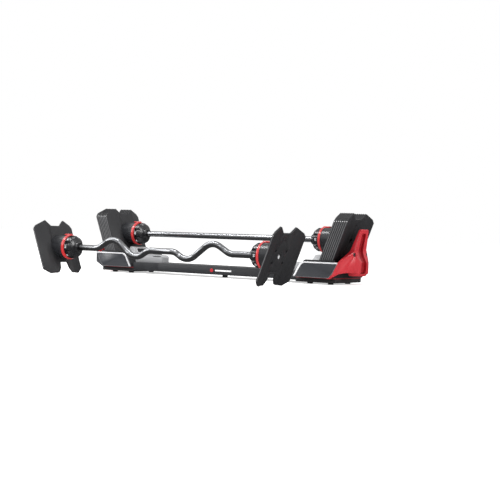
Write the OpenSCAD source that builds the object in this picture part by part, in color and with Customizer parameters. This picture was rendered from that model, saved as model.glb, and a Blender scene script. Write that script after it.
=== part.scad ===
// Adjustable barbell set: a storage base with two cradles, twelve loose weight plates, a docked
// straight bar and a curl bar that stands on its own end plates in front of the base.
// Origin: on the floor under the middle of the base. +X runs along the bars, +Y to the back, +Z up.

/* [Base] */
// Length over the two end caps
set_len = 1505; // [1485:5:1525]
// Depth of the base, front to back
base_w = 298; // [294:2:302]
// Height of the docked set, floor to plate tips
set_h = 323; // [321:1:326]
// Top of the side panels above the floor
panel_top = 100; // [98:1:101]
// Height of the rubber feet
foot_h = 8; // [6:1:10]
// Wall thickness of the beam and plinth mouldings
wall = 4; // [3:0.5:5]

/* [Plates] */
// Angle by which every plate leans outward
lean = 21; // [20:0.5:21.5]
// Half width of a plate, front to back
plate_half = 127; // [124:1:128]
// Reach of a plate above the bar's axis, measured in the plate
plate_up = 133; // [131:1:134]
// Reach of a plate below the bar's axis, measured in the plate
plate_down = 128; // [126:1:129]
// Thickness of a plate
plate_t = 8.8; // [8.4:0.1:9]
// Spacing of the plates along the bar's axis
plate_pitch = 10.2; // [10.1:0.1:10.4]
// Distance from the middle to the fixed end plate, on the bar's axis
plate_x = 611; // [610:1:613]

/* [Bars] */
// Outer diameter of both shafts
shaft_d = 28; // [26:1:28]
// Diameter of the selector rods
rod_d = 20; // [18:1:20]
// Outer diameter of the weight dials
dial_d = 108; // [104:1:110]
// Outer diameter of the red pointer rings
ring_d = 116; // [114:1:118]
// Distance of the curl bar in front of the base's middle
curl_y = 507; // [480:1:560]

/* [Curl grip] */
// Half length of the level grip in the middle
grip_half = 75; // [70:1:80]
// Distance of each hollow from the middle
hollow_x = 147; // [144:1:149]
// Depth of the hollow's corner below the axis
hollow_z = 44; // [40:1:46]
// Distance of each crest from the middle
crest_x = 278; // [274:1:282]
// Height of the crest's corner above the axis
crest_z = 54; // [50:1:56]
// Distance at which the ends run level again
level_x = 372; // [366:1:378]
// Centreline radius of every bend
bend_r = 70; // [50:1:72]

/* [Hidden] */
$fn = 64;
fit = 0.06;                                   // radial clearance of turning and sliding fits
free = 0.4;                                   // clearance where parts only pass each other
half_l = set_len / 2;
half_w = base_w / 2;
plates_loose = 6;
travel = plates_loose * plate_pitch;          // stroke of a selector rod
turn = 45 * plates_loose;                     // turn of a dial, one click per plate
wing_from = 62;                               // where a plate's side wings start
wing_sweep = 16;                              // how far a wing's edge is swept outward
leg_out = 92;                                 // outer corner of a plate's foot
foot_sweep = wing_sweep * (leg_out - wing_from) / (plate_half - wing_from);
axis_z = set_h - plate_up * cos(lean);
curl_axis_z = plate_down * cos(lean) + (plate_t + foot_sweep) * sin(lean);
rack_z = axis_z - curl_axis_z - 0.4;          // floor of the plate rack
stack_x = plate_x + travel + plate_t / cos(lean);   // outer face of the stack on the axis

dial_x = 486;                                 // inner end of a dial's hub
hub_r = 24.5;
lobe_x = 503;                                 // inner end of its lobes
ring_x = 541;
ring_t = 12;
collar_x = ring_x + ring_t;
collar_r = 56;
shaft_end = 604;
cam_x = 494;                                  // cam sleeve inside the dial
cam_end = 577;
cam_r = 20;
peg_x = 504;                                  // drive peg of the rod at the first setting
peg_r = 3;
rod_tip = plate_x + plate_t / cos(lean) - rod_d / 2 * tan(lean) - 0.3;
lobes = 8;
screw_y = 42;                                 // end plate screws
screw_v = 27;
screw_r = 3;

beam_x = 474;                                 // where the beam meets the plinths
beam_top = 55;
beam_mid = 90;                                // half width of the beam in the middle
beam_low = foot_h + 6;
plinth_w = 125;
plinth_end = 675;
plinth_top = 30;
panel_t = 11;
panel_in = 512;                               // inner top corner of a side panel
panel_out = 699;
rack_in = 556;
rack_out = 676;
rack_w = half_w - 13;
rail_top = 109;                               // top of the rack's side rails, behind the panels
keel_w = 20;
keel_top = rack_z + 49;
spine_w = 36;                                 // half width of an end cap's spine
cap_screw_r = 9;
foot_r = 13;
bolt_x = 452;
bolt_y = 60;
bolt_r = 3.3;
tongue_w = 80;                                // plinth's tongue, bolted up under the beam

SIDES = ["left", "right"];

// ---------- placing ----------

// Puts a right-hand part on its side: side is 1 for right and -1 for left.
module on_side(side) {
    if (side > 0) children();
    else mirror([1, 0, 0]) children();
}

module both_sides() {
    children();
    mirror([1, 0, 0]) children();
}

module front_and_back() {
    children();
    mirror([0, 1, 0]) children();
}

// Moves a part drawn about the X axis to the axis of a bar.
module on_bar(bar) {
    if (bar == "straight") translate([0, 0, axis_z]) children();
    else translate([0, -curl_y, curl_axis_z]) children();
}

// A cylinder along +X from x0 to x1.
module rod_x(x0, x1, r) {
    translate([x0, 0, 0]) rotate([0, 90, 0]) cylinder(h = x1 - x0, r = r);
}

// Frame of a leaning plate: X through its thickness, Y to the back, Z up along the plate.
module leaning(x) {
    translate([x, 0, 0]) rotate([0, lean, 0]) children();
}

// An outline drawn in (Y, Z), given thickness t along +X.
module slab_x(t) {
    rotate([90, 0, 90]) linear_extrude(t) children();
}

// An outline drawn in (X, Z), given thickness t, centred on Y = 0.
module slab_y(t) {
    rotate([90, 0, 0]) linear_extrude(t, center = true) children();
}

// The points of an outline with each corner rounded to its third value.
function corner(a, p, b) =
    let (u = (a - p) / norm(a - p), w = (b - p) / norm(b - p), half = acos(u * w) / 2)
    [u, w, half];
function xy(p) = [p[0], p[1]];
function rounded(pts, steps = 6) = [
    for (i = [0:len(pts) - 1])
        let (n = len(pts), p = xy(pts[i]), r = pts[i][2],
             c = corner(xy(pts[(i + n - 1) % n]), p, xy(pts[(i + 1) % n])),
             m = p + (c[0] + c[1]) / norm(c[0] + c[1]) * r / sin(c[2]),
             a0 = p + c[0] * r / tan(c[2]), a1 = p + c[1] * r / tan(c[2]),
             t0 = atan2(a0[1] - m[1], a0[0] - m[0]), t1 = atan2(a1[1] - m[1], a1[0] - m[0]),
             sweep = (t1 - t0 + 540) % 360 - 180)
        for (k = [0:steps]) r == 0 ? p : m + r * [cos(t0 + sweep * k / steps), sin(t0 + sweep * k / steps)]
];
function mirrored(pts) = concat(pts, [for (i = [len(pts) - 1:-1:0]) [-pts[i][0], pts[i][1], pts[i][2]]]);

// ---------- plates ----------

plate_outline = rounded(mirrored([
    [29, plate_up - 28, 5], [60, plate_up, 3], [112, plate_up - 20, 5],
    [plate_half, plate_up - 35, 5], [plate_half, -plate_down + 24, 8], [leg_out, -plate_down, 6],
    [46, -plate_down, 9], [30, -plate_down + 22, 12], [23, -plate_down + 52, 6]]));

module plate_section(t) {
    polygon([[0, -wing_from], [0, wing_from], [wing_sweep, plate_half], [wing_sweep + t, plate_half],
             [t, wing_from], [t, -wing_from], [wing_sweep + t, -plate_half], [wing_sweep, -plate_half]]);
}

module plate_blank() {
    intersection() {
        translate([-1, 0, 0]) slab_x(plate_t + wing_sweep + 2) polygon(plate_outline);
        translate([0, 0, -plate_down - 1]) linear_extrude(plate_up + plate_down + 2) plate_section(plate_t);
    }
}

// Shallow marks on a plate's outer face: a finger slot under the notch and a rest line over the legs.
module plate_marks() {
    translate([plate_t - 1.5, -9, 70]) cube([3, 18, 6]);
    translate([plate_t - 1, -40, -66]) cube([2, 80, 2.5]);
}

module loose_plate(side, k) {
    color("#343538") on_side(side) translate([0, 0, axis_z]) difference() {
        leaning(plate_x + k * plate_pitch) difference() {
            plate_blank();
            plate_marks();
        }
        rod_x(plate_x - 20, stack_x + 20, rod_d / 2 + 1);
    }
}

module plate_screw_spots() {
    for (y = [-screw_y, screw_y], v = [-screw_v, screw_v]) translate([0, y, v]) rotate([0, 90, 0]) children();
}

module end_plate(bar, side) {
    color("#303134") on_bar(bar) on_side(side) difference() {
        leaning(plate_x) difference() {
            plate_blank();
            plate_marks();
            plate_screw_spots() {
                translate([0, 0, -1]) cylinder(h = plate_t + 2, r = screw_r + 0.2);
                translate([0, 0, plate_t - 4.5]) cylinder(h = 5, r = 6.6);
            }
        }
        rod_x(plate_x - 20, plate_x + 30, rod_d / 2 + free);
    }
}

module plate_screws(bar) {
    color("#202124") on_bar(bar) both_sides() leaning(plate_x) plate_screw_spots() difference() {
        union() {
            translate([0, 0, -10]) cylinder(h = plate_t + 5.5, r = screw_r);
            translate([0, 0, plate_t - 4.5]) cylinder(h = 3.5, r = 5.6);
        }
        translate([0, 0, plate_t - 3]) cylinder(h = 3, r = 2.9, $fn = 6);
    }
}

// ---------- shafts and selectors ----------

// Bore and peg slot in each end of a shaft, in which the selector rod slides.
module shaft_end_cuts() {
    both_sides() {
        rod_x(dial_x + 4, shaft_end + 1, rod_d / 2 + fit);
        hull() {
            for (x = [peg_x, peg_x + travel]) translate([x, 0, 0]) cylinder(h = shaft_d, r = peg_r + free, $fn = 32);
        }
    }
}

module straight_shaft() {
    color("#5b5d62") on_bar("straight") difference() {
        rod_x(-shaft_end, shaft_end, shaft_d / 2);
        shaft_end_cuts();
    }
}

// A straight run of bar along +Z, which laps into its neighbours, then the rest of the bar.
module run(length) {
    translate([0, 0, -lap]) cylinder(h = length + 2 * lap, r = shaft_d / 2);
    translate([0, 0, length]) children();
}

// A bend of the bar by angle towards +X, or towards -X where it is negative, then the rest.
// It is slightly thicker than the straight runs that lap into it.
module bend(angle) {
    side = sign(angle);
    turn_by = abs(angle);
    rotate([0, 0, side > 0 ? 180 : 0]) translate([-bend_r, 0, 0])
        rotate([90, 0, 0]) rotate_extrude(angle = turn_by) translate([bend_r, 0]) circle(r = shaft_d / 2 + bend_swell);
    translate([side * bend_r * (1 - cos(turn_by)), 0, bend_r * sin(turn_by)]) rotate([0, angle, 0]) children();
}

function setback(angle) = bend_r * tan(abs(angle) / 2);

lap = 2;
bend_swell = 0.25;
down_1 = atan2(hollow_z, hollow_x - grip_half);
up_2 = atan2(hollow_z + crest_z, crest_x - hollow_x);
down_3 = atan2(crest_z, level_x - crest_x);
leg_1 = norm([hollow_x - grip_half, hollow_z]);
leg_2 = norm([crest_x - hollow_x, hollow_z + crest_z]);
leg_3 = norm([level_x - crest_x, crest_z]);
set_1 = setback(down_1);
set_2 = setback(down_1 + up_2);
set_3 = setback(up_2 + down_3);
set_4 = setback(down_3);

// Half of the curl bar, from the middle to its end, along +Z and bending in the X direction.
module curl_half() {
    run(grip_half - set_1) bend(down_1) run(leg_1 - set_1 - set_2) bend(-down_1 - up_2)
        run(leg_2 - set_2 - set_3) bend(up_2 + down_3) run(leg_3 - set_3 - set_4) bend(-down_3)
        run(shaft_end - level_x - set_4 - lap);
}

module curl_shaft() {
    color("#5b5d62") on_bar("curl") difference() {
        both_sides() rotate([0, 90, 0]) curl_half();
        shaft_end_cuts();
    }
}

module collar(bar, side) {
    color("#2a2b2e") on_bar(bar) on_side(side) difference() {
        union() {
            rod_x(collar_x, plate_x + 40, collar_r);
            rod_x(collar_x, collar_x + 3, collar_r + 1);
        }
        leaning(plate_x) translate([0, -100, -100]) cube([100, 200, 200]);
        rod_x(collar_x - 1, cam_end + 4, 40);
        rod_x(collar_x, shaft_end, shaft_d / 2);
        rod_x(shaft_end - 1, plate_x + 40, rod_d / 2 + free);
        leaning(plate_x) plate_screw_spots() translate([0, 0, -10]) cylinder(h = 12, r = screw_r);
    }
}

module ring(bar, side) {
    color("#e04a45") on_bar(bar) on_side(side) difference() {
        union() {
            rod_x(ring_x, ring_x + ring_t, ring_d / 2);
            translate([ring_x, 0, ring_d / 2]) rotate([0, 90, 0]) linear_extrude(34)
                polygon(rounded([[8, -13, 2], [-4, -8, 3], [-4, 8, 3], [8, 13, 2]]));
        }
        rod_x(ring_x - 1, ring_x + ring_t + 1, 30);
        rod_x(collar_x, collar_x + 40, collar_r + 1);
    }
}

module dial(bar, side) {
    color("#26272a") on_bar(bar) on_side(side) difference() {
        rotate([0, 90, 0]) rotate_extrude() polygon([
            [shaft_d / 2 + fit, dial_x], [hub_r - 1.5, dial_x], [hub_r, dial_x + 3], [hub_r, lobe_x - 2],
            [hub_r + 11, lobe_x], [dial_d / 2 - 6, lobe_x + 6], [dial_d / 2, lobe_x + 17],
            [dial_d / 2, ring_x - 4], [dial_d / 2 - 3, ring_x - 0.4], [cam_r, ring_x - 0.4],
            [cam_r, cam_x], [shaft_d / 2 + fit, cam_x]]);
        for (i = [0:lobes - 1]) rotate([(i + 0.5) * 360 / lobes, 0, 0]) translate([0, 0, dial_d / 2 - 1])
            rod_x(dial_x, ring_x - 6, 9);
    }
}

// Sleeve fixed in the dial, whose helical slot drives the rod's peg one plate for each click.
module cam_sleeve(bar, side) {
    step = 9;
    color("#8a8d92") on_bar(bar) on_side(side) difference() {
        rod_x(cam_x, cam_end, cam_r);
        rod_x(cam_x - 1, cam_end + 1, shaft_d / 2 + fit);
        for (a = [0:step:turn]) rotate([-a, 0, 0]) translate([peg_x + travel * a / turn, 0, 5])
            cylinder(h = cam_r, r = peg_r + 2 * free);
    }
}

module selector_rod(bar, side) {
    color("#c4c6ca") on_bar(bar) on_side(side) union() {
        rod_x(peg_x - 8, rod_tip, rod_d / 2);
        translate([peg_x, 0, 0]) cylinder(h = cam_r - 1, r = peg_r);
    }
}

// ---------- base ----------

function flare(x) = abs(x) < 330 ? beam_mid
    : beam_mid + (plinth_w - beam_mid) * (1 - cos(90 * (abs(x) - 330) / (beam_x - 330)));

module beam_plan(inset) {
    xs = [for (i = [-24:24]) i / 24 * (beam_x - inset)];
    polygon(concat([for (x = xs) [x, -flare(x) + inset]], [for (i = [len(xs) - 1:-1:0]) [xs[i], flare(xs[i]) - inset]]));
}

module crossbeam() {
    color("#33343a") difference() {
        union() {
            difference() {
                translate([0, 0, beam_low]) linear_extrude(beam_top - beam_low) beam_plan(0);
                translate([0, 0, beam_low - 1]) linear_extrude(beam_top - beam_low + 1 - wall) beam_plan(wall);
            }
            translate([0, 0, foot_h]) cylinder(h = beam_top - foot_h - 2, r = foot_r);
            both_sides() front_and_back() translate([bolt_x, bolt_y, beam_low + wall])
                cylinder(h = beam_top - beam_low - wall - 2, r = 9);
        }
        both_sides() {
            front_and_back() translate([bolt_x, bolt_y, 0]) cylinder(h = beam_low + 24, r = bolt_r);
            translate([beam_x - 5, -tongue_w, beam_low - 1]) cube([6, 2 * tongue_w, wall + 1]);
        }
    }
}

module beam_badge() {
    color("#d8323c") translate([0, -beam_mid - 1.2, (beam_low + beam_top) / 2]) slab_y(2.4) union() {
        translate([-17, 0]) circle(r = 9);
        polygon(rounded([[3, -3.5, 1.5], [96, -3.5, 1.5], [98, 3.5, 1.5], [5, 3.5, 1.5]]));
    }
}

module foot_spots() {
    front_and_back() for (x = [beam_x + 50, plinth_end - 45]) translate([x, plinth_w - 45, 0]) children();
}

module plinth(side) {
    color("#1c1d20") on_side(side) difference() {
        union() {
            difference() {
                translate([beam_x, -plinth_w, foot_h]) cube([plinth_end - beam_x, 2 * plinth_w, plinth_top - foot_h]);
                translate([beam_x + wall, -plinth_w + wall, foot_h - 1])
                    cube([plinth_end - beam_x - 2 * wall, 2 * plinth_w - 2 * wall, plinth_top - foot_h + 1 - wall]);
            }
            translate([bolt_x - 14, -tongue_w, beam_low]) cube([beam_x - bolt_x + 16, 2 * tongue_w, wall]);
            foot_spots() translate([0, 0, foot_h]) cylinder(h = plinth_top - foot_h - 2, r = foot_r);
        }
        front_and_back() translate([bolt_x, bolt_y, 0])
            cylinder(h = beam_low + wall + 1, r = bolt_r);
    }
}

module rubber_feet() {
    color("#101113") {
        cylinder(h = foot_h, r = foot_r);
        both_sides() foot_spots() cylinder(h = foot_h, r = foot_r);
    }
}

module beam_bolts() {
    color("#b8bac0") both_sides() front_and_back() translate([bolt_x, bolt_y, 0]) union() {
        translate([0, 0, beam_low - 5]) cylinder(h = 5, r = 7);
        translate([0, 0, beam_low]) cylinder(h = 22, r = bolt_r);
    }
}

panel_points = [[beam_x - 3, plinth_top, 5], [panel_in, panel_top, 30], [panel_out, panel_top, 2],
                [panel_out - 11, 78, 24], [panel_out - 28, 48, 20], [panel_out - 45, plinth_top, 6]];

// The field of a side panel inside its bright strip, which is broad above and thin below.
module panel_field() {
    intersection() {
        offset(delta = -2.5) polygon(rounded(panel_points));
        translate([6, -5.5]) polygon(rounded(panel_points));
    }
}

module side_panel(side, back) {
    color("#44474d") on_side(side) mirror([0, back ? 1 : 0, 0]) difference() {
        translate([0, -half_w + 1 + panel_t / 2, 0]) slab_y(panel_t) polygon(rounded(panel_points));
        translate([0, -half_w + 1, 0]) slab_y(2) difference() {
            polygon(rounded(panel_points));
            panel_field();
        }
    }
}

// Bright strip round the edge of each side panel, set in a rebate, and round each saddle's pad.
module panel_trims() {
    color("#c9cace") both_sides() {
        front_and_back() translate([0, -half_w + 1, 0]) slab_y(2) difference() {
            polygon(rounded(panel_points));
            panel_field();
        }
        on_slope() linear_extrude(2.5) difference() {
            pad_outline(4);
            pad_outline(0.4);
        }
    }
}

foot_in = 364;                                // inner end of a saddle's foot
saddle_w = 78;
saddle_out = 560;                             // outer face, clear of the end plate's feet
saddle_top = 131;                             // clear of the docked bar, which stands on its end plates
slope_foot = [515, 95];                       // lower and upper end of the slope that holds the pad
slope_head = [530, 128];
slope_run = norm(slope_head - slope_foot);
pad_w = 78;
pad_h = 21;
saddle_side = [[foot_in, beam_top, 0], [foot_in + 2, 84, 8], [foot_in + 20, 92, 12], [466, 93, 40],
               [slope_foot[0], slope_foot[1], 5], [slope_head[0], slope_head[1], 2], [536, saddle_top, 4],
               [saddle_out, saddle_top, 2], [saddle_out, rack_z + 2, 0], [rack_in - 3, rack_z, 0],
               [rack_in - 3, beam_top, 0]];
saddle_front = [[saddle_w, beam_top, 0], [saddle_w, 94, 14], [60, 108, 12], [50, saddle_top + 1, 6]];

module saddle(side) {
    color("#9c9ea2") on_side(side) difference() {
        union() {
            intersection() {
                slab_y(2 * saddle_w) polygon(rounded(saddle_side));
                translate([foot_in - 1, 0, 0]) slab_x(saddle_out - foot_in + 2)
                    polygon(rounded([for (i = [0:7]) i < 4 ? saddle_front[i]
                        : [-saddle_front[7 - i][0], saddle_front[7 - i][1], saddle_front[7 - i][2]]]));
                linear_extrude(200) polygon(rounded([[foot_in, -24, 14], [470, -saddle_w, 20], [580, -saddle_w, 1],
                    [580, saddle_w, 1], [470, saddle_w, 20], [foot_in, 24, 14]]));
            }
            translate([beam_x, -saddle_w, plinth_top]) cube([rack_in - 3 - beam_x, 2 * saddle_w, beam_top - plinth_top + 8]);
        }
        front_and_back() translate([foot_in + 31, -52, 86]) slab_y(80)
            polygon(rounded([[-19, -2.2, 2.1], [19, -2.2, 2.1], [19, 2.2, 2.1], [-19, 2.2, 2.1]]));
        translate([beam_x + 6, -saddle_w + 6, plinth_top - 1]) cube([72, 2 * saddle_w - 12, 58]);
    }
}

// The slope under a dial, X up the slope and Z out of it.
module on_slope() {
    translate([slope_foot[0], 0, slope_foot[1]])
        rotate([0, -atan2(slope_head[1] - slope_foot[1], slope_head[0] - slope_foot[0]), 0])
            translate([slope_run / 2 + 1, 0, 0.1]) children();
}

module pad_outline(grow) {
    h = pad_h / 2 + grow;
    w = pad_w / 2 + grow;
    polygon(rounded([[-h, -w, 7 + grow], [h, -w, 7 + grow], [h, w, 7 + grow], [-h, w, 7 + grow]]));
}

// Dark pad on the slope of each saddle, under the dial.
module saddle_pads() {
    color("#2c2e33") both_sides() on_slope() linear_extrude(2) pad_outline(0);
}

// Tray in which the plates stand, with a keel between their legs and a wing beside the saddle.
module plate_rack(side) {
    color("#222327") on_side(side) union() {
        difference() {
            translate([rack_in, -rack_w, plinth_top]) cube([rack_out - rack_in, 2 * rack_w, rack_z - plinth_top]);
            translate([rack_in + 5, -rack_w + 5, plinth_top - 1])
                cube([rack_out - rack_in - 10, 2 * rack_w - 10, rack_z - plinth_top - 4]);
        }
        slab_y(2 * keel_w) polygon([[rack_in + 12, rack_z - 1], [rack_in + 20, keel_top], [rack_out - 20, keel_top],
                                    [rack_out - 12, rack_z - 1]]);
        translate([rack_out - 9, -rack_w, rack_z - 1]) cube([9, 2 * rack_w, 20]);
        front_and_back() {
            translate([0, -rack_w + 2.5, 0]) slab_y(5) polygon(rounded([[487, plinth_top, 0], [518, rail_top, 20],
                [rack_out, rail_top, 3], [rack_out, plinth_top, 0]]));
            difference() {
                translate([0, -(rack_w + saddle_w + 1) / 2, 0]) slab_y(rack_w - saddle_w - 1)
                    polygon([[486, plinth_top], [512, 92], [rack_in + 1, 92], [rack_in + 1, plinth_top]]);
                translate([0, -(rack_w + saddle_w + 1) / 2, 0]) slab_y(rack_w - saddle_w - 11)
                    polygon([[493, plinth_top - 1], [516, 87], [rack_in - 4, 87], [rack_in - 4, plinth_top - 1]]);
            }
        }
    }
}

// An end cap is what its outlines from the end (Y, Z), from the side (X, Z) and in plan (X, Y) share.
// Its middle rises into a spine, and its outer edge there swells at the spine's foot.
cap_outer = [[half_l, 251, 4], [half_l - 5, 225, 20], [733, 153, 30], [741, 125, 12], [half_l, 104, 5],
             [half_l, 88, 5], [half_l - 2, 60, 20], [741, 38, 5]];
cap_side = rounded(concat([[rack_out + 0.5, 38, 0], [rack_out + 0.5, panel_top + 0.5, 0],
                           [697, panel_top + 0.5, 3], [709, 153, 30], [742, 251, 2]], cap_outer));
cap_end = rounded(mirrored([[36, 251, 10], [54, 153, 24], [half_w, panel_top, 3], [half_w, 50, 4],
                            [110, 55, 20], [48, 58, 6], [38, 41, 8]]));
cap_plan = rounded([
    [panel_out + 0.5, half_w, 0], [735, 55, 20], [half_l, 34, 8], [half_l, -34, 8], [735, -55, 20],
    [panel_out + 0.5, -half_w, 0], [panel_out + 0.5, -half_w + 12.5, 0], [rack_out + 0.5, -half_w + 12.5, 0],
    [rack_out + 0.5, half_w - 12.5, 0], [panel_out + 0.5, half_w - 12.5, 0]]);
groove_depth = 9;
cap_lip = [[646, plinth_top - 3], [658, plinth_top - 3], [panel_out + 1, 50], [panel_out + 1, panel_top],
           [panel_out + 0.4, panel_top]];      // red edge round a panel's slanted end, before the panel is cut

module end_cap(side) {
    color("#c8303a") on_side(side) union() {
        difference() {
            intersection() {
                translate([600, 0, 0]) slab_x(200) polygon(cap_end);
                slab_y(base_w) polygon(cap_side);
                linear_extrude(300) polygon(cap_plan);
            }
            translate([rack_out - 10, -half_w + 26, 36]) cube([32, base_w - 52, panel_top - 48]);
            difference() {
                translate([600, 0, 0]) slab_x(200) polygon(rounded(mirrored([[18, 232, 13], [24, 52, 14]])));
                slab_y(base_w) polygon(rounded(concat([[600, 30, 0], [600, 260, 0], [740, 260, 0]],
                    [for (p = cap_outer) [p[0] - groove_depth, p[1], p[2]]])));
            }
            cap_screw_spots() cylinder(h = 60, r = cap_screw_r + 0.3);
        }
        front_and_back() translate([0, -half_w + 1 + panel_t / 2, 0]) slab_y(panel_t) difference() {
            polygon(cap_lip);
            translate([0.4, -0.3]) polygon(rounded(panel_points));
        }
    }
}

module cap_screw_spots() {
    front_and_back() translate([727, 57, 137]) rotate([0, 90, 0]) children();
}

module cap_screws() {
    color("#55575c") both_sides() cap_screw_spots() difference() {
        cylinder(h = 6, r = cap_screw_r);
        translate([0, 0, 3]) cylinder(h = 4, r = 4, $fn = 6);
    }
}

// ---------- nodes ----------

crossbeam();
beam_badge();
panel_trims();
saddle_pads();
rubber_feet();
cap_screws();
beam_bolts();
straight_shaft();
curl_shaft();
plate_screws("straight");  // straight_plate_screws
plate_screws("curl");  // curl_plate_screws
for (i = [0, 1]) {
    s = SIDES[i];
    side = 2 * i - 1;
    plinth(side);
    end_cap(side);
    side_panel(side, false);
    side_panel(side, true);
    saddle(side);
    plate_rack(side);
    for (k = [1:plates_loose]) loose_plate(side, k);
    for (bar = ["straight", "curl"]) {
        collar(bar, side);
        ring(bar, side);
        dial(bar, side);
        cam_sleeve(bar, side);
        end_plate(bar, side);
        selector_rod(bar, side);
    }
}
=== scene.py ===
"""Adjustable barbell set: a base with two cradles, twelve loose plates, a straight bar and a curl bar."""

import math

import bmesh
import bpy
from mathutils import Matrix, Vector


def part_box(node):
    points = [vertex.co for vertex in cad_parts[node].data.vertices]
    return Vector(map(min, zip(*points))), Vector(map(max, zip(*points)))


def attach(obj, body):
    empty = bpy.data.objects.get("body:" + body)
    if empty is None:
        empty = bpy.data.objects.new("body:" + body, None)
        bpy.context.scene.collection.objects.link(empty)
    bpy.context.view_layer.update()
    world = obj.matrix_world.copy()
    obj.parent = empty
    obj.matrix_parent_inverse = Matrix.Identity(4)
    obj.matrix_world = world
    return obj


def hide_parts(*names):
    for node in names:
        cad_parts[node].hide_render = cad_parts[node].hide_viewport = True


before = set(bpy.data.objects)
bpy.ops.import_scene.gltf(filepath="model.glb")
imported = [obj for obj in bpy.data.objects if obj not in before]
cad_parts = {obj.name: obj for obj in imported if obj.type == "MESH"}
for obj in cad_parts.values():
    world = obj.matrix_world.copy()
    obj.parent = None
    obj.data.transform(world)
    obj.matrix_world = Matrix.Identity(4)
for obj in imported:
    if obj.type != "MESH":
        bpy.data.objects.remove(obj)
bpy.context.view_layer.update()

# ---- Crossbeam ---------------------------------------------------------------------------------
# A long steel channel that joins the two cradles, open below and flared at both ends.
# It is pressed from sheet and powder coated: satin near-black, with a fine orange-peel grain.


class Value:
    """A number that varies over a surface; Python's operators on it add Math nodes."""

    def __init__(self, tree, socket):
        self.tree = tree
        self.socket = socket

    def math(self, operation, first, second):
        node = self.tree.nodes.new("ShaderNodeMath")
        node.operation = operation
        for entry, given in zip(node.inputs, (first, second)):
            if isinstance(given, Value):
                self.tree.links.new(given.socket, entry)
            else:
                entry.default_value = given
        return Value(self.tree, node.outputs[0])

    def __add__(self, other):
        return self.math("ADD", self, other)

    def __sub__(self, other):
        return self.math("SUBTRACT", self, other)

    def __rsub__(self, other):
        return self.math("SUBTRACT", other, self)

    def __mul__(self, other):
        return self.math("MULTIPLY", self, other)

    def __mod__(self, other):
        return self.math("FLOORED_MODULO", self, other)

    def __gt__(self, other):
        return self.math("GREATER_THAN", self, other)

    def __lt__(self, other):
        return self.math("LESS_THAN", self, other)

    def __abs__(self):
        return self.math("ABSOLUTE", self, 0.0)

    __radd__ = __add__
    __rmul__ = __mul__


class Nodes:
    """A node tree, and the one way in which nodes are added to it."""

    def __init__(self, tree):
        self.tree = tree

    def connect(self, entry, given):
        given = given.socket if isinstance(given, Value) else given
        if isinstance(given, bpy.types.NodeSocket):
            self.tree.links.new(given, entry)
        else:
            entry.default_value = given

    def add(self, kind, settings=None, **sockets):
        node = self.tree.nodes.new(kind)
        for name, given in (settings or {}).items():
            if name == "stops":
                for stop, (position, color) in zip(node.color_ramp.elements, given):
                    stop.position = position
                    stop.color = color
            else:
                setattr(node, name, given)
        for name, given in sockets.items():
            self.connect(node.inputs[name.replace("_", " ")], given)
        return node

    def split(self, vector):
        """The three parts of a vector as values."""
        parts = self.add("ShaderNodeSeparateXYZ", Vector=vector)
        return [Value(self.tree, part) for part in parts.outputs]


class Finish(Nodes):
    """One material: a Principled shader and the nodes that feed it."""

    def __init__(self, name, color, roughness, metallic=0.0, coat=0.0, coat_roughness=0.1):
        self.material = bpy.data.materials.new(name)
        self.material.use_nodes = True
        super().__init__(self.material.node_tree)
        self.shader = self.tree.nodes["Principled BSDF"]
        self.color = color
        self.feed("Base Color", (*color, 1.0))
        self.feed("Roughness", roughness)
        self.feed("Metallic", metallic)
        self.feed("Coat Weight", coat)
        self.feed("Coat Roughness", coat_roughness)
        place = self.add("ShaderNodeTexCoord")
        self.place = place.outputs["Object"]
        self.facing = place.outputs["Normal"]
        self.x, self.y, self.z = self.split(self.place)

    def feed(self, entry, given):
        self.connect(self.shader.inputs[entry], given)

    def noise(self, per_metre, detail=2.0, stretch=None):
        """Even mottling with about per_metre lumps to the metre, from 0 to 1."""
        place = self.place
        if stretch:
            moved = self.add("ShaderNodeVectorMath", {"operation": "MULTIPLY"})
            self.connect(moved.inputs[0], place)
            self.connect(moved.inputs[1], stretch)
            place = moved.outputs[0]
        node = self.add("ShaderNodeTexNoise", Vector=place, Scale=per_metre, Detail=detail)
        return Value(self.tree, node.outputs["Fac"])

    def blend(self, mask, color):
        """The base colour, turning to another colour where mask is 1."""
        node = self.add("ShaderNodeMix", {"data_type": "RGBA"})
        self.connect(node.inputs["Factor"], mask)
        previous = self.shader.inputs["Base Color"]
        source = previous.links[0].from_socket if previous.is_linked else (*self.color, 1.0)
        self.connect(node.inputs[6], source)
        self.connect(node.inputs[7], (*color, 1.0))
        self.feed("Base Color", node.outputs[2])

    def relief(self, height, strength, distance):
        """Bumps of the given height pattern, distance metres deep at full strength."""
        bump = self.add("ShaderNodeBump", Height=height, Strength=strength, Distance=distance)
        self.feed("Normal", bump.outputs["Normal"])


def powder_coat(name, color, roughness):
    coat = Finish(name, color, roughness)
    grain = coat.noise(900, 3)
    cloud = coat.noise(9, 2)
    coat.feed("Roughness", roughness - 0.06 + 0.12 * cloud + 0.05 * grain)
    coat.blend(0.5 * cloud * cloud, tuple(1.35 * c for c in color))
    coat.relief(grain, 0.35, 0.0004)
    return coat.material


SAME_POINT = 2e-6
FLAT_WITHIN = math.radians(0.6)
BEVEL_FROM = math.radians(28)
SHARP_FROM = math.radians(32)


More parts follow.
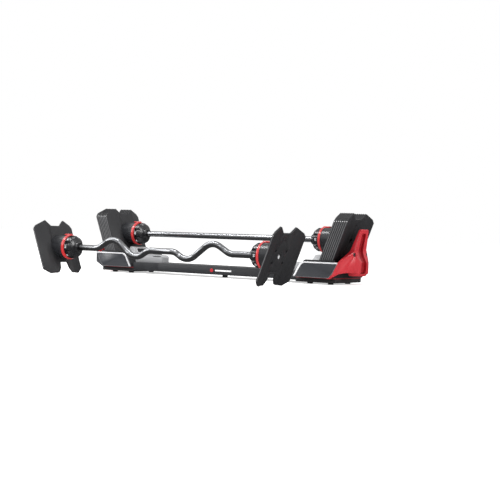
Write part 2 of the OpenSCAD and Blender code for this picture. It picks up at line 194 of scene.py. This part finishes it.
def dressed(node, edge, steps):
    """A node's solid as a new mesh, its flat faces made whole and its hard edges rounded off."""
    work = bmesh.new()
    work.from_mesh(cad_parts[node].data)
    bmesh.ops.remove_doubles(work, verts=work.verts, dist=SAME_POINT)
    bmesh.ops.dissolve_limit(work, angle_limit=FLAT_WITHIN, verts=work.verts, edges=work.edges)
    mesh = bpy.data.meshes.new(node)
    work.to_mesh(mesh)
    work.free()
    piece = bpy.data.objects.new(node + "_shell", mesh)
    bpy.context.scene.collection.objects.link(piece)
    round_off = piece.modifiers.new("edges", "BEVEL")
    round_off.width = edge
    round_off.segments = steps
    round_off.limit_method = "ANGLE"
    round_off.angle_limit = BEVEL_FROM
    round_off.harden_normals = True
    settle(piece)
    return piece


def settle(piece):
    """Applies a piece's modifiers and shades it smooth except over its hard edges."""
    bpy.context.view_layer.update()
    shaped = piece.evaluated_get(bpy.context.evaluated_depsgraph_get())
    mesh = bpy.data.meshes.new_from_object(shaped)
    piece.modifiers.clear()
    piece.data = mesh
    mesh.polygons.foreach_set("use_smooth", [True] * len(mesh.polygons))
    mesh.set_sharp_from_angle(angle=SHARP_FROM)


def fit_on(piece, body, slot, material, *nodes):
    """Gives a finished piece its material, its body and the nodes that it stands for."""
    piece.data.materials.clear()
    piece.data.materials.append(material)
    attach(piece, body)
    if nodes:
        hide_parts(*nodes)


def shell(node, body, slot, material, edge, steps=2):
    """A node's solid as a finished piece, its edges rounded to the radius edge in that many steps."""
    fit_on(dressed(node, edge, steps), body, slot, material, node)


beam_black = powder_coat("beam_powder_coat", (0.020, 0.021, 0.024), 0.42)
shell("crossbeam", "base", "beam", beam_black, 0.0022, 3)

# ---- Badge on the beam -------------------------------------------------------------------------
# A printed mark on the front of the beam, sunk under lacquer: a plain red disc and a white bar.
badge_print = Finish("badge_print", (0.42, 0.02, 0.03), 0.4, coat=0.1)
badge_print.feed("Roughness", 0.25 + 0.15 * badge_print.noise(300))
bar_from = -0.004
badge_print.blend(badge_print.x > bar_from, (0.86, 0.86, 0.87))
shell("beam_badge", "base", "badge", badge_print.material, 0.0003, 2)

# ---- Feet and bolts ----------------------------------------------------------------------------
# Nine moulded rubber discs that carry the base, and four zinc-plated bolts under the beam's ends.
rubber = Finish("foot_rubber", (0.012, 0.012, 0.013), 0.8)
speckle = rubber.noise(1400, 3)
rubber.feed("Roughness", 0.7 + 0.2 * speckle)
rubber.relief(speckle, 0.5, 0.0003)
shell("rubber_feet", "base", "foot", rubber.material, 0.0012, 3)

zinc = Finish("zinc_plate", (0.62, 0.63, 0.66), 0.32, metallic=1.0)
zinc.feed("Roughness", 0.25 + 0.2 * zinc.noise(500, 3))
shell("beam_bolts", "base", "zinc", zinc.material, 0.0006)

# ---- Plinths and plate racks -------------------------------------------------------------------
# Black glass-filled nylon mouldings: the plinth under each cradle, and the tray in which the
# plates stand with its keel between their legs. They have a spark-eroded, slightly mottled grain,
# and the plinth's top edge is painted dark red under the panels.
SIDES = {"left": -1, "right": 1}
SEAM_HEIGHT = 0.0035


def grained_plastic(name, color, roughness, grain_depth=0.0002, coat=0.0):
    plastic = Finish(name, color, roughness, coat=coat, coat_roughness=0.25)
    grain = plastic.noise(1600, 2)
    cloud = plastic.noise(14, 3)
    plastic.feed("Roughness", roughness - 0.07 + 0.1 * cloud + 0.06 * grain)
    plastic.blend(0.6 * cloud * cloud, tuple(min(1.0, 1.25 * c) for c in color))
    plastic.relief(grain, 0.3, grain_depth)
    return plastic


plinth = grained_plastic("plinth_nylon", (0.010, 0.010, 0.012), 0.5)
seam_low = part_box("left_plinth")[1][2] - SEAM_HEIGHT
plinth.blend(plinth.z > seam_low, (0.20, 0.008, 0.014))
rack_black = grained_plastic("rack_nylon", (0.012, 0.012, 0.014), 0.55).material
for side in SIDES:
    shell(f"{side}_plinth", "base", "plinth", plinth.material, 0.0018)
    shell(f"{side}_plate_rack", "base", "plate_rack", rack_black, 0.0015)

# ---- Saddles and their pads --------------------------------------------------------------------
# Light grey satin mouldings that run from the beam up to the bar's rest, with a grip slot on each
# side, and a dark rubber pad let into the slope under each dial.
saddle_grey = grained_plastic("saddle_plastic", (0.40, 0.405, 0.415), 0.38, coat=0.15).material
pad_dark = grained_plastic("pad_rubber", (0.018, 0.019, 0.022), 0.6, 0.0004).material
for side in SIDES:
    shell(f"{side}_saddle", "base", "saddle", saddle_grey, 0.004, 4)
shell("saddle_pads", "base", "pad", pad_dark, 0.001)

# ---- Side panels and their trims ---------------------------------------------------------------
# Grey satin covers on the front and back of each cradle, each framed by a bright anodised strip
# that sits in a rebate. The strip is coloured pale and only part metallic over the top and the inner
# slope, partly a painted highlight, and painted grey elsewhere as painted shade.
PANEL_GREY = (0.036, 0.038, 0.044)
panel_plastic = grained_plastic("panel_plastic", PANEL_GREY, 0.36, coat=0.15).material
for side in SIDES:
    for face in ("front", "rear"):
        shell(f"{side}_{face}_panel", "base", "panel", panel_plastic, 0.0008)

TRIM_SHADE_GREY = (0.16, 0.16, 0.17)
OUTER_FROM, TOP_STRIP, LOW_STRIP = 0.53, 0.0065, 0.0035
panel_low, panel_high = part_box("left_front_panel")
anodised = Finish("trim_anodised", (0.80, 0.80, 0.82), 0.38, metallic=0.35)
# Painted shade: the outer side and the low edge of the trim turn grey.
shaded_outer_strip = (abs(anodised.x) > OUTER_FROM) * (anodised.z < panel_high[2] - TOP_STRIP)
anodised.blend(shaded_outer_strip, TRIM_SHADE_GREY)
anodised.blend(anodised.z < panel_low[2] + LOW_STRIP, TRIM_SHADE_GREY)
brushed = anodised.noise(60, 2, (1.0, 1.0, 40.0))
anodised.feed("Roughness", 0.32 + 0.14 * brushed)
anodised.relief(brushed, 0.08, 0.0002)
shell("panel_trims", "base", "trim", anodised.material, 0.0004)

# ---- End caps and their screws -----------------------------------------------------------------
# Red satin mouldings that close each cradle and rise behind the stack as a spine. The long groove
# in the spine is painted a deeper red, painted shade in its hollow, and a socket screw holds each
# shoulder. The thin lip round the slanted end of each left-hand panel is grey like the panel.
cap_red = grained_plastic("cap_plastic", (0.44, 0.014, 0.023), 0.36, coat=0.2)
out_x = cap_red.split(cap_red.facing)[0] * cap_red.x
GROOVE_LOW, GROOVE_HIGH = 0.052, 0.233
GROOVE_FOOT, GROOVE_HEAD = 0.0245, 0.0185
FACES_IN = -0.2
narrowing = (GROOVE_FOOT - GROOVE_HEAD) / (GROOVE_HIGH - GROOVE_LOW)
# Painted shade: the groove down the spine turns a darker red.
groove_shade = (abs(cap_red.y) + narrowing * (cap_red.z - GROOVE_LOW)) < GROOVE_FOOT
groove_shade = groove_shade * (cap_red.z > GROOVE_LOW) * (cap_red.z < GROOVE_HIGH) * (out_x > FACES_IN)
cap_red.blend(groove_shade, (0.25, 0.0, 0.004))
LIP_FROM, LIP_TO, LIP_OUT = -0.64, -0.7004, 0.1362
left_lip = (cap_red.x < LIP_FROM) * (cap_red.x > LIP_TO) * (abs(cap_red.y) > LIP_OUT)
cap_red.blend(left_lip, PANEL_GREY)
for side in SIDES:
    shell(f"{side}_end_cap", "base", "cap_red", cap_red.material, 0.003, 4)

black_oxide = Finish("black_oxide_steel", (0.030, 0.030, 0.033), 0.4, metallic=0.8)
black_oxide.feed("Roughness", 0.32 + 0.2 * black_oxide.noise(700, 3))
screw_steel = Finish("cap_screw_steel", (0.16, 0.16, 0.17), 0.35, metallic=0.9)
screw_steel.feed("Roughness", 0.28 + 0.2 * screw_steel.noise(700, 3))
SHADED_SOCKET_DEPTH = 0.0012
screw_face = max(abs(corner[0]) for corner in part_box("cap_screws"))
# Painted shade: the socket in each screw head is near black.
screw_steel.blend(abs(screw_steel.x) < screw_face - SHADED_SOCKET_DEPTH, (0.006, 0.006, 0.006))
shell("cap_screws", "base", "dark_steel", screw_steel.material, 0.0005)

# ---- Loose plates ------------------------------------------------------------------------------
# Cast plates with swept wings, a notch above and two legs below, moulded over in black with a
# coarse pebbled texture. The middle of each rim is painted paler as painted light, and a painted
# highlight glints near its upper corners.
LEAN = math.radians(21)
PLATE_X, PLATE_PITCH, PLATE_THICK = 0.611, 0.0102, 0.0088
WING_FROM, WING_SLOPE = 0.062, 16 / 65
RIM_Y, LIT_BAND_HALF = 0.1262, 0.0019
GLINT_ALONG, GLINT_HALF = 0.0975, 0.0022
ROD_RADIUS = 0.010


def plate_finish(name, bar):
    """The coat of the plates that stand on the axis of one bar."""
    low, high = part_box(f"{bar}_shaft")
    axis_y = (low[1] + high[1]) / 2
    axis_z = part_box(f"{bar}_left_selector_rod")[0][2] + ROD_RADIUS
    coat = Finish(name, (0.013, 0.013, 0.015), 0.5)
    pebble, patch = coat.noise(420, 4), coat.noise(11, 2)
    coat.feed("Roughness", 0.40 + 0.1 * patch + 0.14 * pebble)
    coat.blend(0.5 * pebble * patch, (0.040, 0.040, 0.043))
    outward, upward = abs(coat.x) - PLATE_X, coat.z - axis_z
    across = abs(coat.y - axis_y)
    wing = across - WING_FROM
    stacked = math.cos(LEAN) * outward - math.sin(LEAN) * upward - WING_SLOPE * wing * (wing > 0.0)
    depth = stacked % (PLATE_PITCH * math.cos(LEAN))
    along = math.sin(LEAN) * outward + math.cos(LEAN) * upward - math.tan(LEAN) * (stacked - depth)
    # Painted light: a paler band down the middle of each rim on the wings.
    lit_rim = (abs(depth - PLATE_THICK / 2) < LIT_BAND_HALF) * (across > RIM_Y)
    coat.blend(lit_rim * (0.4 + 0.6 * patch), (0.13, 0.13, 0.135))
    # Painted highlight: a bright glint on each rim near its upper corner.
    coat.blend(lit_rim * (abs(along - GLINT_ALONG) < GLINT_HALF), (0.60, 0.60, 0.61))
    coat.relief(pebble, 0.45, 0.0006)
    return coat.material


docked_coat = plate_finish("docked_plate_coat", "straight")
for side in SIDES:
    for number in range(1, 7):
        name = f"{side}_plate_{number}"
        shell(name, name, "weight_plate", docked_coat, 0.0022, 3)

# ---- Bars --------------------------------------------------------------------------------------
# Two steel shafts: the straight one is ground and dark chromed to a polish, and the cranked one for
# curls is finished in a satin grey chrome.
dark_chrome = Finish("dark_chrome", (0.34, 0.345, 0.36), 0.2, metallic=1.0)
satin_chrome = Finish("satin_chrome", (0.26, 0.265, 0.275), 0.36, metallic=1.0)
for chrome, polish in ((dark_chrome, 0.10), (satin_chrome, 0.24)):
    scratches = chrome.noise(220, 3, (0.05, 1.0, 1.0))
    chrome.feed("Roughness", polish + 0.1 * scratches)
    chrome.relief(scratches, 0.03, 0.0002)
shell("straight_shaft", "straight_bar", "shaft", dark_chrome.material, 0.0008)
shell("curl_shaft", "curl_bar", "shaft", satin_chrome.material, 0.0008)

# ---- Collars, rings, dials ---------------------------------------------------------------------
# Black collars that carry each fixed end plate, red pointer rings against their flanges, and glossy
# lobed dials. Inside each dial are a machined cam sleeve and a polished selector rod, its colour
# made pale in part as a painted highlight.
BARS = ("straight", "curl")
collar_black = grained_plastic("collar_plastic", (0.020, 0.021, 0.024), 0.28, coat=0.45).material
ring_red = grained_plastic("ring_plastic", (0.56, 0.028, 0.030), 0.3, coat=0.3).material
dial_black = grained_plastic("dial_plastic", (0.012, 0.012, 0.014), 0.26, coat=0.4).material
cam_steel = Finish("cam_steel", (0.5, 0.5, 0.52), 0.35, metallic=1.0)
cam_steel.feed("Roughness", 0.28 + 0.2 * cam_steel.noise(400, 2, (8.0, 1.0, 1.0)))
# Polished chrome coloured pale and only half metallic, so its end shows a painted highlight.
rod_chrome_sheen = Finish("rod_chrome_sheen", (0.88, 0.88, 0.89), 0.3, metallic=0.5)
rod_chrome_sheen.feed("Roughness", 0.25 + 0.12 * rod_chrome_sheen.noise(300, 2, (0.1, 1.0, 1.0)))
end_plate_coat = {"straight": docked_coat, "curl": plate_finish("curl_plate_coat", "curl")}
for bar in BARS:
    for side in SIDES:
        body = f"{bar}_bar"
        shell(f"{bar}_{side}_collar", body, "collar", collar_black, 0.002, 3)
        shell(f"{bar}_{side}_ring", body, "ring_red", ring_red, 0.0012, 3)
        shell(f"{bar}_{side}_end_plate", body, "weight_plate", end_plate_coat[bar], 0.0022, 3)
        shell(f"{bar}_{side}_dial", f"{bar}_{side}_dial", "dial", dial_black, 0.002, 3)
        shell(f"{bar}_{side}_cam_sleeve", f"{bar}_{side}_dial", "cam", cam_steel.material, 0.0004)
        shell(f"{bar}_{side}_selector_rod", f"{bar}_{side}_selector", "rod", rod_chrome_sheen.material, 0.0012, 3)
    shell(f"{bar}_plate_screws", f"{bar}_bar", "dark_steel", black_oxide.material, 0.0004)

# ---- Dial numerals -----------------------------------------------------------------------------
# White figures printed on the lobes of each dial, one for each weight that it can pick up. The one
# under the red pointer is the weight that is set.
WEIGHTS = (20, 30, 40, 50, 60, 70, 80)
CLICK = math.radians(45)
FIGURE_SIZE, FIGURE_RELIEF = 0.0125, 0.0003
FIGURE_INSET = 0.0125
figure_white = Finish("figure_print", (0.75, 0.75, 0.76), 0.45)
figure_white.feed("Roughness", 0.4 + 0.1 * figure_white.noise(900))


def wrapped_figures(name, centre, radius, sign):
    """The weights as raised print round a cylinder along X through centre."""
    work = bmesh.new()
    for step, weight in enumerate(WEIGHTS):
        words = bpy.data.curves.new("figure", "FONT")
        words.body = str(weight)
        words.size = FIGURE_SIZE
        words.align_x = "CENTER"
        words.align_y = "CENTER"
        words.extrude = FIGURE_RELIEF
        flat = bpy.data.objects.new("figure", words)
        bpy.context.scene.collection.objects.link(flat)
        bpy.context.view_layer.update()
        mesh = bpy.data.meshes.new_from_object(flat.evaluated_get(bpy.context.evaluated_depsgraph_get()))
        bpy.data.objects.remove(flat)
        for point in mesh.vertices:
            along, across, out = point.co
            turned = sign * along / radius - CLICK * step
            from_axis = radius + out
            point.co = (
                centre[0] + sign * across,
                centre[1] - from_axis * math.sin(turned),
                centre[2] + from_axis * math.cos(turned),
            )
        work.from_mesh(mesh)
        bpy.data.meshes.remove(mesh)
    bmesh.ops.remove_doubles(work, verts=work.verts, dist=1e-6)
    bmesh.ops.recalc_face_normals(work, faces=work.faces)
    mesh = bpy.data.meshes.new(name)
    work.to_mesh(mesh)
    work.free()
    piece = bpy.data.objects.new(name, mesh)
    bpy.context.scene.collection.objects.link(piece)
    return piece


for bar in BARS:
    for side, sign in SIDES.items():
        low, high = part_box(f"{bar}_{side}_dial")
        outer_end = high[0] if sign > 0 else low[0]
        axis = (outer_end - sign * FIGURE_INSET, (low[1] + high[1]) / 2, (low[2] + high[2]) / 2)
        figures = wrapped_figures(f"{bar}_{side}_figures", axis, (high[1] - low[1]) / 2, sign)
        fit_on(figures, f"{bar}_{side}_dial", "trim", figure_white.material)

# ---- Studio ------------------------------------------------------------------------------------
# A pale floor under a long overhead strip light and three soft boxes, with a world that is white to
# the eye and darker low down in reflections, so that polished steel keeps its contrast.
FLOOR_REACH, FLOOR_DROP, FLOOR_GLOW = 60.0, 0.0005, 0.55
corners = [(FLOOR_REACH * x, FLOOR_REACH * y, 0.0) for x, y in ((-1, -1), (1, -1), (1, 1), (-1, 1))]
floor_mesh = bpy.data.meshes.new("floor")
floor_mesh.from_pydata(corners, [], [(0, 1, 2, 3)])
floor = bpy.data.objects.new("floor", floor_mesh)
bpy.context.scene.collection.objects.link(floor)
floor_white = Finish("floor_white", (0.9, 0.9, 0.9), 0.9)
floor_white.feed("Emission Color", (1.0, 1.0, 1.0, 1.0))
floor_white.feed("Emission Strength", FLOOR_GLOW)
floor_mesh.materials.append(floor_white.material)
floor.location.z = -FLOOR_DROP
floor.visible_glossy = False

world = bpy.data.worlds.new("studio")
bpy.context.scene.world = world
world.use_nodes = True
studio = Nodes(world.node_tree)
height = studio.split(studio.add("ShaderNodeTexCoord").outputs["Generated"])[2]
fade = ((0.02, (0.13, 0.13, 0.13, 1.0)), (0.35, (0.75, 0.75, 0.75, 1.0)))
ramp = studio.add("ShaderNodeValToRGB", {"stops": fade})
studio.connect(ramp.inputs[0], height)
reflected = studio.add("ShaderNodeBackground", Color=ramp.outputs["Color"], Strength=0.9)
seen = studio.add("ShaderNodeBackground", Color=(1.0, 1.0, 1.0, 1.0), Strength=1.0)
direct = studio.add("ShaderNodeLightPath").outputs["Is Camera Ray"]
either = studio.add("ShaderNodeMixShader")
for entry, given in zip(either.inputs, (direct, reflected.outputs[0], seen.outputs[0])):
    studio.connect(entry, given)
studio.connect(world.node_tree.nodes["World Output"].inputs[0], either.outputs[0])


def softbox(name, place, aim, width, depth, watts):
    light = bpy.data.lights.new(name, "AREA")
    light.shape = "RECTANGLE"
    light.size = width
    light.size_y = depth
    light.energy = watts
    lamp = bpy.data.objects.new(name, light)
    lamp.location = place
    lamp.rotation_euler = (Vector(aim) - Vector(place)).to_track_quat("-Z", "Y").to_euler()
    bpy.context.scene.collection.objects.link(lamp)


softbox("overhead", (-2.2, -1.2, 3.4), (-2.15, -0.2, 0), width=4.2, depth=0.35, watts=110)
softbox("front", (1.6, -4.6, 2.6), (0, -0.2, 0.1), width=2.4, depth=1.2, watts=60)
softbox("left", (-3.4, -2.4, 1.5), (0, 0, 0.1), width=1.6, depth=1.6, watts=50)
softbox("right", (4.2, 0.6, 1.6), (0, 0, 0.1), width=1.4, depth=1.4, watts=60)

# ---- Camera ------------------------------------------------------------------------------------
# A long lens low over the floor, turned a little about its own axis.
EYE = Vector((2.8997, -4.1885, 0.2106))
azimuth, pitch, roll = math.radians(33.38), math.radians(0.83), math.radians(1.87)
ahead = Vector((-math.sin(azimuth) * math.cos(pitch), math.cos(azimuth) * math.cos(pitch), -math.sin(pitch)))
level = Vector((math.cos(azimuth), math.sin(azimuth), 0.0))
up = level.cross(ahead)
right = level * math.cos(roll) + up * math.sin(roll)
top = up * math.cos(roll) - level * math.sin(roll)
optics = bpy.data.cameras.new("camera")
optics.sensor_width = 36.0
optics.lens = 75.43
camera = bpy.data.objects.new("camera", optics)
turn = Matrix((right, top, -ahead)).transposed().to_4x4()
camera.matrix_world = Matrix.Translation(EYE) @ turn
bpy.context.scene.collection.objects.link(camera)
bpy.context.scene.camera = camera
bpy.context.scene.view_settings.view_transform = "Standard"
